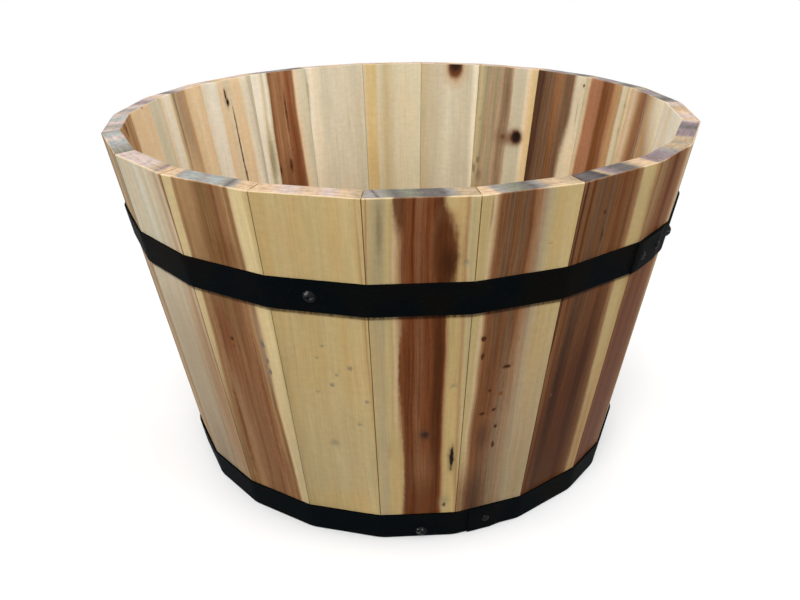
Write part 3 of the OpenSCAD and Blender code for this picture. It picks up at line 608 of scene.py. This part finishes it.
def joint_dust_and_shade(tree, grain, board, colour):
    """Dust, oil and painted shade darken the joints between boards."""
    side = looks_along(tree, grain, board.turn.col[0])
    share = draw_mask(tree, (side, TURNS_ASIDE, ASIDE_SHARE), (grain.inwards, JOINT_SHADE_DEPTH, DEPTH_SHARE))
    return add(tree, "Mix", {SHARE: share, UNDER: colour, OVER: linear(JOINT_DUST_AND_SHADE)}, **TINT)


# Where the painted shadow and grime below the upper hoop start and where they are full, in mm: below
# the hoop's lower edge, above it under the strip, and into the wood; and how strong they are
HOOP_SHADE_BELOW = (-4, -2.4)
HOOP_SHADE_ABOVE = (2.6, 0.6)
HOOP_SHADE_DEPTH = (1.5, 0.5)
HOOP_SHADE_SHARE = (0.6, 0.95)


def hoop_shadow_and_grime(tree, grain, board, colour):
    """Painted shadow, with some black grime from the upper hoop, darkens the wood just below it."""
    edge = (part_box("upper_hoop")[0].z - board.origin.z) / board.turn.col[2].z / MM
    up = add(tree, "Math", {0: grain.along, 1: edge}, operation="SUBTRACT")
    share = draw_mask(tree, (up, HOOP_SHADE_BELOW, ALL), (up, HOOP_SHADE_ABOVE, ALL),
                      (grain.inwards, HOOP_SHADE_DEPTH, ALL), (grain.surface["fray"], ALL, HOOP_SHADE_SHARE))
    return add(tree, "Mix", {SHARE: share, UNDER: colour, OVER: linear(HOOP_SHADOW_AND_GRIME)}, **TINT)


# Where the sanding and its painted highlight start to show and where they show fully: by how far a
# face's normal rises, but not on level faces; by the place in from the outside and down from the rim, in
# mm; and how strong they are
TURNS_UP = (0.05, 0.35)
NOT_LEVEL = (0.95, 0.8)
RIM_EDGE_IN = (5, 3)
RIM_EDGE_DOWN = (-4, -2.5)
RIM_EDGE_SHARE = (0.3, 0.85)
RIM_EDGE_HEART = (1, 0.15)


def sanded_rim_and_highlight(tree, grain, heart, colour):
    """The sanded outer edge of the rim is bare, pale wood with a painted highlight, least so over
    heartwood.
    """
    upright = add(tree, "SeparateXYZ", {0: grain.normal}, out="Z")
    share = draw_mask(tree, (upright, TURNS_UP, ALL), (upright, NOT_LEVEL, ALL),
                      (grain.inwards, RIM_EDGE_IN, ALL), (grain.along, RIM_EDGE_DOWN, ALL),
                      (grain.surface["mottle"], ALL, RIM_EDGE_SHARE), (heart, ALL, RIM_EDGE_HEART))
    return add(tree, "Mix", {SHARE: share, UNDER: colour, OVER: linear(SANDED_AND_HIGHLIGHT)}, **LAY)


# A face looks along its board by less than the first cosine if it isn't a sawn end, and by more than
# the second if it is
NOT_END = 0.7
SAWN_END = 0.92
# Roughness of an oiled and of a bare board's smoothest fibres, and what rougher ones and sawn ends add
OILED_ROUGH = 0.5
BARE_ROUGH = 0.72
FIBRE_ROUGH = 0.14
END_ROUGH = 0.15
WOOD_IOR = 1.45
WOOD_SHEEN = 0.06  # the specular level
GRAIN_BUMP = 0.4
GRAIN_DEPTH = 0.2  # mm
LINE_RELIEF = -0.4  # against the fibres' height
PORE_RELIEF = -0.8


def acacia(name, board, figure, seed, oiled):
    """Planed and sanded acacia: pale sapwood beside red-brown heartwood in bands that follow the
    grain, with darker growth lines, short open pores, and greyed sawn ends. Oil gives the staves a
    low sheen, and the bare boards of the floor stay dull."""
    material, tree = new_material(name)
    grain = Grain(tree, board, figure, seed)
    colour, heart = planed_wood(tree, grain, figure)
    end = add(tree, "MapRange", {"Value": looks_along(tree, grain, board.turn.col[2]),
                                 "From Min": NOT_END, "From Max": SAWN_END})
    colour = add(tree, "Mix", {SHARE: end, UNDER: colour, OVER: sawn_end(tree, grain, figure)}, **LAY)
    # Dust and painted shade darken the joints
    colour = joint_dust_and_shade(tree, grain, board, colour)
    if oiled:
        # Painted shadow and grime just below the upper hoop
        colour = hoop_shadow_and_grime(tree, grain, board, colour)
        # The rim's sanded edge, with a painted highlight
        colour = sanded_rim_and_highlight(tree, grain, heart, colour)

    growth = grain.growth
    relief = add(tree, "Math", {0: growth["line"], 1: LINE_RELIEF, 2: growth["fibre"]},
                 operation="MULTIPLY_ADD")
    relief = add(tree, "Math", {0: growth["pore"], 1: PORE_RELIEF, 2: relief}, operation="MULTIPLY_ADD")
    bump = add(tree, "Bump", {"Strength": GRAIN_BUMP, "Distance": GRAIN_DEPTH * MM, "Height": relief})
    smoothest = OILED_ROUGH if oiled else BARE_ROUGH
    rough = add(tree, "MapRange",
                {"Value": growth["fibre"], "To Min": smoothest, "To Max": smoothest + FIBRE_ROUGH})
    rough = add(tree, "Math", {0: end, 1: END_ROUGH, 2: rough}, operation="MULTIPLY_ADD")
    shader = add(tree, "BsdfPrincipled",
                 {"Base Color": colour, "Roughness": rough, "Normal": bump, "IOR": WOOD_IOR,
                  "Specular IOR Level": WOOD_SHEEN})
    add(tree, "OutputMaterial", {0: shader})
    return material


# The metals' coats: thick, plain and thin paint, its scuffs and dust, the coats of rivets and screws,
# their darker patches, and the steel where they have rubbed off, which also stands for painted highlights
THICK_PAINT = "#060b0f"
PLAIN_PAINT = "#080c0e"
THIN_PAINT = "#100e0c"
SCUFF = "#2c2b29"
DUST = "#4a4640"
RIVET_PAINT = "#111213"
SCREW_BLACK = "#16181b"
COAT_SHADE = "#0c0c0d"
RUBBED_STEEL_AND_GLINT = "#6d6c6c"
PAINT_SEED = 3
STEEL_SEED = 5
PAINT_SHEEN = 0.01  # the specular levels
STEEL_SHEEN = 0.08
SMOOTH_PAINT = 0.55  # roughness
ROUGH_PAINT = 0.7
DULL_COAT = 0.5
RUBBED_THROUGH = 0.35
SCUFF_SHARE = 0.4
DUST_SHARE = 0.25
PEEL_BUMP = 0.3
PEEL_DEPTH = 0.1  # mm
SCUFF_RELIEF = -0.6  # against the peel's height


def draw_coat(tree, seed):
    """Draws the patterns of a metal's coat on the frame's axes in mm."""
    at = add(tree, "VectorMath", {0: add(tree, "TexCoord", out="Object"), "Scale": 1 / MM},
             operation="SCALE")
    return draw_patterns(tree, at, seed, COAT)


def black_paint(name):
    """Satin black paint on rolled steel strip: nearly black with a faint orange peel, bluer where
    it is thick and browner where it is thin, and small dull scuffs."""
    material, tree = new_material(name)
    coat = draw_coat(tree, PAINT_SEED)
    colour = add(tree, "ValToRGB", {0: coat["drift"]},
                 stops=[(0, linear(THICK_PAINT)), (0.5, linear(PLAIN_PAINT)), (1, linear(THIN_PAINT))])
    share = add(tree, "Math", {0: coat["scuff"], 1: SCUFF_SHARE}, operation="MULTIPLY")
    colour = add(tree, "Mix", {SHARE: share, UNDER: colour, OVER: linear(SCUFF)}, **LAY)
    share = add(tree, "Math", {0: coat["dust"], 1: DUST_SHARE}, operation="MULTIPLY")
    colour = add(tree, "Mix", {SHARE: share, UNDER: colour, OVER: linear(DUST)}, **LAY)
    relief = add(tree, "Math", {0: coat["scuff"], 1: SCUFF_RELIEF, 2: coat["peel"]},
                 operation="MULTIPLY_ADD")
    bump = add(tree, "Bump", {"Strength": PEEL_BUMP, "Distance": PEEL_DEPTH * MM, "Height": relief})
    rough = add(tree, "MapRange", {"Value": coat["peel"], "To Min": SMOOTH_PAINT, "To Max": ROUGH_PAINT})
    shader = add(tree, "BsdfPrincipled", {"Base Color": colour, "Roughness": rough, "Normal": bump,
                                          "Specular IOR Level": PAINT_SHEEN})
    add(tree, "OutputMaterial", {0: shader})
    return material


def coated_steel(name, tone, worn_and_glint):
    """Carbon steel heads, blacked or painted: a dull coat, nearly black, that is rubbed down to
    brighter, smoother steel in small patches, which also serve as painted highlights."""
    material, tree = new_material(name)
    coat = draw_coat(tree, STEEL_SEED)
    colour = add(tree, "Mix", {SHARE: coat["peel"], UNDER: linear(tone), OVER: linear(COAT_SHADE)}, **LAY)
    share = add(tree, "Math", {0: coat["rub_and_glint"], 1: worn_and_glint}, operation="MULTIPLY")
    # The brighter patches are rubbed steel and painted highlights
    colour = add(tree, "Mix", {SHARE: share, UNDER: colour, OVER: linear(RUBBED_STEEL_AND_GLINT)}, **LAY)
    bump = add(tree, "Bump", {"Strength": PEEL_BUMP, "Distance": PEEL_DEPTH * MM, "Height": coat["peel"]})
    rough = add(tree, "MapRange", {"Value": coat["rub_and_glint"], "To Min": DULL_COAT, "To Max": RUBBED_THROUGH})
    shader = add(tree, "BsdfPrincipled", {"Base Color": colour, "Roughness": rough, "Normal": bump,
                                          "Specular IOR Level": STEEL_SHEEN})
    add(tree, "OutputMaterial", {0: shader})
    return material


# ------ pieces

# Width in mm of the rounding on each kind of edge
RIM_ARRIS = 1.3
INNER_RIM_ARRIS = 0.8
LONG_ARRIS = 0.5
INNER_LONG_ARRIS = 0.2
FOOT_ARRIS = 0.7
BOARD_ARRIS = 0.5
STRIP_ARRIS = 0.3
HEAD_ARRIS = 0.12

# Radians between two faces; a smaller turn is shaded as one smooth surface
STAVE_TURN = 0.4
BOARD_TURN = 0.5
STRIP_TURN = 0.4
HEAD_TURN = 0.6

MERGE_DISTANCE = 1e-6  # m
FLAT_DEGREES = 0.4  # loose triangles that turn less than this lie in one flat face
LEVEL = 0.7  # a level face's normal rises or falls by more than this


def add_shape(name, shape, material):
    mesh = bpy.data.meshes.new(name)
    shape.to_mesh(mesh)
    shape.free()
    mesh.materials.append(material)
    return add_object(name, mesh)


def finish_piece(name, shape, material, node):
    """Makes the shape a piece that stands for its CAD node."""
    for face in shape.faces:
        face.smooth = True
    piece = add_shape(name, shape, material)
    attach(piece, "root")
    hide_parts(node)
    return piece


def round_edges(piece, width, segments=2, by_weight=False):
    """Rounds a piece's edges, by their weights or wherever they are sharp."""
    bevel = piece.modifiers.new("worn_edges", "BEVEL")
    bevel.limit_method = "WEIGHT" if by_weight else "ANGLE"
    bevel.width = width * MM
    bevel.segments = segments
    bevel.use_clamp_overlap = False
    bevel.harden_normals = True


def smooth_below(shape, turn):
    """Shades the shape smooth over each edge that turns less than this."""
    for edge in shape.edges:
        edge.smooth = edge.calc_face_angle(0) < turn


def merged_copy(node, keep_level=False):
    """A CAD node's mesh with its loose triangles joined and its flat faces whole. Level faces can be
    left alone, because a hoop's would be rings, which no single face can be."""
    shape = bmesh.new()
    shape.from_mesh(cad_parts[node].data)
    bmesh.ops.remove_doubles(shape, verts=shape.verts, dist=MERGE_DISTANCE)
    loose = [edge for edge in shape.edges
             if not keep_level or all(abs(face.normal.z) <= LEVEL for face in edge.link_faces)]
    bmesh.ops.dissolve_limit(shape, angle_limit=math.radians(FLAT_DEGREES), verts=[], edges=loose)
    return shape


# Dents, with their sizes in mm
DENT_TONES = (UMBER, TAR, MOSS, SMOKE)
DENT_CUTS = 6
DENT_SHARE = 0.22  # a dent's depth for its half width
DENT_SLACK = 0.01  # a face that only touches a dent's square by this much isn't in it
WIDEST_DENT = 6  # to each side; a larger mark is a stain
LONGEST_DENT = 20  # to each side
RIM_CLEAR = 2  # from the rim to a dent
CUT_DISTANCE = 1e-7  # m, points this close to a cut count as on it
SQUARE_ON = 0.999  # a board's outer and inner faces look out and in by more than this cosine


def press_dent(shape, facing, mark):
    """Presses a soft-edged hollow into a board's outer (-1) or inner (1) face. The shape is in the
    board's own axes."""
    middle = {0: mark.across * MM, 2: -mark.down * MM}
    half = {0: mark.half_width * MM, 2: mark.half_length * MM}
    depth = DENT_SHARE * mark.half_width * MM
    slack = DENT_SLACK * MM

    def faces_there():
        found = []
        for face in shape.faces:
            if face.normal.y * facing < SQUARE_ON:
                continue
            if all(min(v.co[a] for v in face.verts) < middle[a] + half[a] - slack
                   and max(v.co[a] for v in face.verts) > middle[a] - half[a] + slack for a in (0, 2)):
                found.append(face)
        return found

    edges = [(axis, step) for axis in (2, 0) for step in (0, DENT_CUTS)]
    inner = [(axis, step) for axis in (2, 0) for step in range(1, DENT_CUTS)]
    for axis, step in edges + inner:
        there = faces_there()
        parts = there + list({e for f in there for e in f.edges}) + list({v for f in there for v in f.verts})
        place = Vector((0, 0, 0))
        place[axis] = middle[axis] + half[axis] * (2 * step / DENT_CUTS - 1)
        way = Vector((0, 0, 0))
        way[axis] = 1
        bmesh.ops.bisect_plane(shape, geom=parts, dist=CUT_DISTANCE, plane_co=place, plane_no=way)
        shape.normal_update()
    for v in {v for f in faces_there() for v in f.verts}:
        out = math.hypot((v.co.x - middle[0]) / half[0], (v.co.z - middle[2]) / half[2])
        if out < 1:
            v.co.y -= facing * depth * (1 - out ** 2) ** 2
    shape.normal_update()


def leaves_dent(mark):
    return (mark.tone in DENT_TONES and mark.half_width < WIDEST_DENT and mark.half_length < LONGEST_DENT
            and mark.down > mark.half_length + RIM_CLEAR)


SHORT_EDGE = 13  # mm; the edges of screw holes and of the floor's groove are shorter
END_REACH = 26  # mm from a stave's highest or lowest point in which an edge is of that end


def make_stave(name, seed):
    """A flat tapered board with rounded arrises, pressed in at its knots and cracks."""
    shape = merged_copy(name)
    board = stave_board(name)
    figure = FIGURES[name]
    to_frame = Matrix.Translation(board.origin) @ board.turn.to_4x4()
    bmesh.ops.transform(shape, matrix=to_frame.inverted(), verts=shape.verts)
    top = max(v.co.z for v in shape.verts)
    foot = min(v.co.z for v in shape.verts)
    weight = shape.edges.layers.float.new("bevel_weight_edge")
    for edge in shape.edges:
        ends = [v.co for v in edge.verts]
        turned = edge.calc_face_angle(0)
        edge.smooth = turned < STAVE_TURN
        if edge.calc_length() < SHORT_EDGE * MM or turned < STAVE_TURN:
            continue
        outer = all(co.y < MM for co in ends)
        if all(co.z > top - END_REACH * MM for co in ends):
            width = RIM_ARRIS if outer else INNER_RIM_ARRIS
        elif all(co.z < foot + END_REACH * MM for co in ends):
            width = FOOT_ARRIS
        else:
            width = LONG_ARRIS if outer else INNER_LONG_ARRIS
        edge[weight] = width / RIM_ARRIS
        edge.smooth = True
    facing = 1 if figure.face_in else -1
    for mark in figure.marks:
        if leaves_dent(mark):
            press_dent(shape, facing, mark)
    bmesh.ops.transform(shape, matrix=to_frame, verts=shape.verts)
    wood = acacia("oiled_acacia_" + name, board, figure, seed, oiled=True)
    piece = finish_piece(name + "_wood", shape, wood, name)
    round_edges(piece, RIM_ARRIS, segments=3, by_weight=True)


def make_plain(name, node, material, turn, arris):
    """Makes a piece in its CAD node's shape, with its edges dulled."""
    shape = merged_copy(node)
    smooth_below(shape, turn)
    piece = finish_piece(name, shape, material, node)
    round_edges(piece, arris)


def make_level_board(name, across, seed):
    """A floor board or a batten."""
    wood = acacia("planed_acacia_" + name, level_board(name, across), FIGURES[name], seed, oiled=False)
    make_plain(name + "_wood", name, wood, BOARD_TURN, BOARD_ARRIS)


def make_fasteners(name, node, material):
    """Screws or rivets."""
    make_plain(name, node, material, HEAD_TURN, HEAD_ARRIS)


BEND_ROUND = 4  # mm to each side of a hoop's bend that the strip takes to turn
BEND_LENGTH = 20  # mm; an edge across the strip is longer, and no other upright edge is
BEND_TURN = 0.1  # radians; a bend turns by more
OUTSIDE = 0.8  # a hoop's outer faces look out by more than this cosine


def make_hoop(name, paint):
    """A strip bent round the staves: soft outer bends at the joints and dulled edges."""
    shape = merged_copy(name, keep_level=True)
    bends = []
    for edge in shape.edges:
        if len(edge.link_faces) != 2 or edge.calc_length() < BEND_LENGTH * MM:
            continue
        outward = Vector((edge.verts[0].co.x, edge.verts[0].co.y, 0)).normalized()
        outside = all(face.normal.dot(outward) > OUTSIDE for face in edge.link_faces)
        if outside and edge.calc_face_angle_signed(0) > BEND_TURN:
            bends.append(edge)
    bmesh.ops.bevel(shape, geom=bends, offset=BEND_ROUND * MM, offset_type="OFFSET", segments=4, profile=0.5,
                    affect="EDGES", material=-1, clamp_overlap=False)
    smooth_below(shape, STRIP_TURN)
    piece = finish_piece(name + "_strip", shape, paint, name)
    round_edges(piece, STRIP_ARRIS)


# ------ the stage

# The studio floor's colours, linear: as the camera sees it, and as it lights the planter
WHITE_FLOOR = (0.97, 0.97, 0.97, 1)
DIM_FLOOR = (0.09, 0.09, 0.085, 1)
WHITE = (1, 1, 1, 1)
FLOOR_HALF = 8  # m
SHADOW_FULL = 0.22  # m from the middle, up to which the floor keeps its shadow
SHADOW_END = 0.6  # m, from where it is plain white
SKY_LIGHT = 0.55  # the strength at which the sky lights the planter

# Soft lamps: name, strength, degrees from straight above, degrees round from the front to +X
LAMPS = [("soft_key", 1.95, 52, -6), ("right_fill", 1.15, 38, 100), ("left_fill", 0.9, 38, -100)]
LAMP_SPREAD = 60  # degrees


def seen_or_mirrored(tree):
    """1 where the camera sees a thing, directly or in a gloss, and 0 where it only gives light."""
    return add(tree, "Math", {0: add(tree, "LightPath", out="Is Camera Ray"),
                              1: add(tree, "LightPath", out="Is Glossy Ray")}, operation="MAXIMUM")


def add_stage():
    """A pale floor that keeps the planter's shadow and turns plain white away from it."""
    material, tree = new_material("pale_studio_floor")
    seen = seen_or_mirrored(tree)
    tone = add(tree, "Mix", {SHARE: seen, UNDER: DIM_FLOOR, OVER: WHITE_FLOOR}, **LAY)
    matt = add(tree, "BsdfDiffuse", {"Color": tone})
    glow = add(tree, "Emission", {"Color": WHITE, "Strength": 1})
    away = add(tree, "VectorMath", {0: add(tree, "TexCoord", out="Object")}, out="Value",
               operation="LENGTH")
    far = add(tree, "MapRange", {"Value": away, "From Min": SHADOW_FULL, "From Max": SHADOW_END},
              interpolation_type="SMOOTHSTEP")
    far = add(tree, "Math", {0: far, 1: seen}, operation="MULTIPLY")
    surface = add(tree, "MixShader", {0: far, 1: matt, 2: glow})
    add(tree, "OutputMaterial", {0: surface})
    shape = bmesh.new()
    bmesh.ops.create_grid(shape, x_segments=1, y_segments=1, size=FLOOR_HALF)
    add_shape("floor", shape, material)


def add_light():
    """A white sky that the camera sees at full strength, and three soft lamps."""
    world = bpy.data.worlds.new("studio")
    bpy.context.scene.world = world
    world.use_nodes = True
    tree = world.node_tree
    tree.nodes.clear()
    light = add(tree, "MapRange", {"Value": seen_or_mirrored(tree), "To Min": SKY_LIGHT})
    sky = add(tree, "Background", {"Color": WHITE, "Strength": light})
    add(tree, "OutputWorld", {0: sky})

    for name, strength, from_above, azimuth in LAMPS:
        data = bpy.data.lights.new(name, "SUN")
        data.energy = strength
        data.angle = math.radians(LAMP_SPREAD)
        lamp = add_object(name, data)
        lamp.rotation_euler = (math.radians(from_above), 0, math.radians(azimuth))


# ------ the planter

STAVES = 22
FLOOR_BOARDS = 5
ACROSS_FLOOR = Vector((0, 1, 0))
ACROSS_BATTENS = Vector((1, 0, 0))
FLOOR_SEED = 30
BATTEN_SEED = 41

add_camera()
add_light()
add_stage()
for number in range(1, STAVES + 1):
    make_stave("stave_%02d" % number, number - 1)
for number in range(1, FLOOR_BOARDS + 1):
    make_level_board("floor_board_%d" % number, ACROSS_FLOOR, FLOOR_SEED + number)
for number, side in enumerate(("left", "right")):
    make_level_board("batten_" + side, ACROSS_BATTENS, BATTEN_SEED + number)
hoop_paint = black_paint("satin_black_paint_on_strip")
make_hoop("upper_hoop", hoop_paint)
make_hoop("lower_hoop", hoop_paint)
painted_steel = coated_steel("painted_steel_rivets", RIVET_PAINT, worn_and_glint=0.15)
make_fasteners("hoop_rivet_heads", "hoop_rivets", painted_steel)
blacked_steel = coated_steel("blacked_steel_screws", SCREW_BLACK, worn_and_glint=0.8)
make_fasteners("hoop_pan_screws", "hoop_screws", blacked_steel)
make_fasteners("batten_sunk_screws", "batten_screws", blacked_steel)

bpy.context.scene.view_settings.view_transform = "Standard"
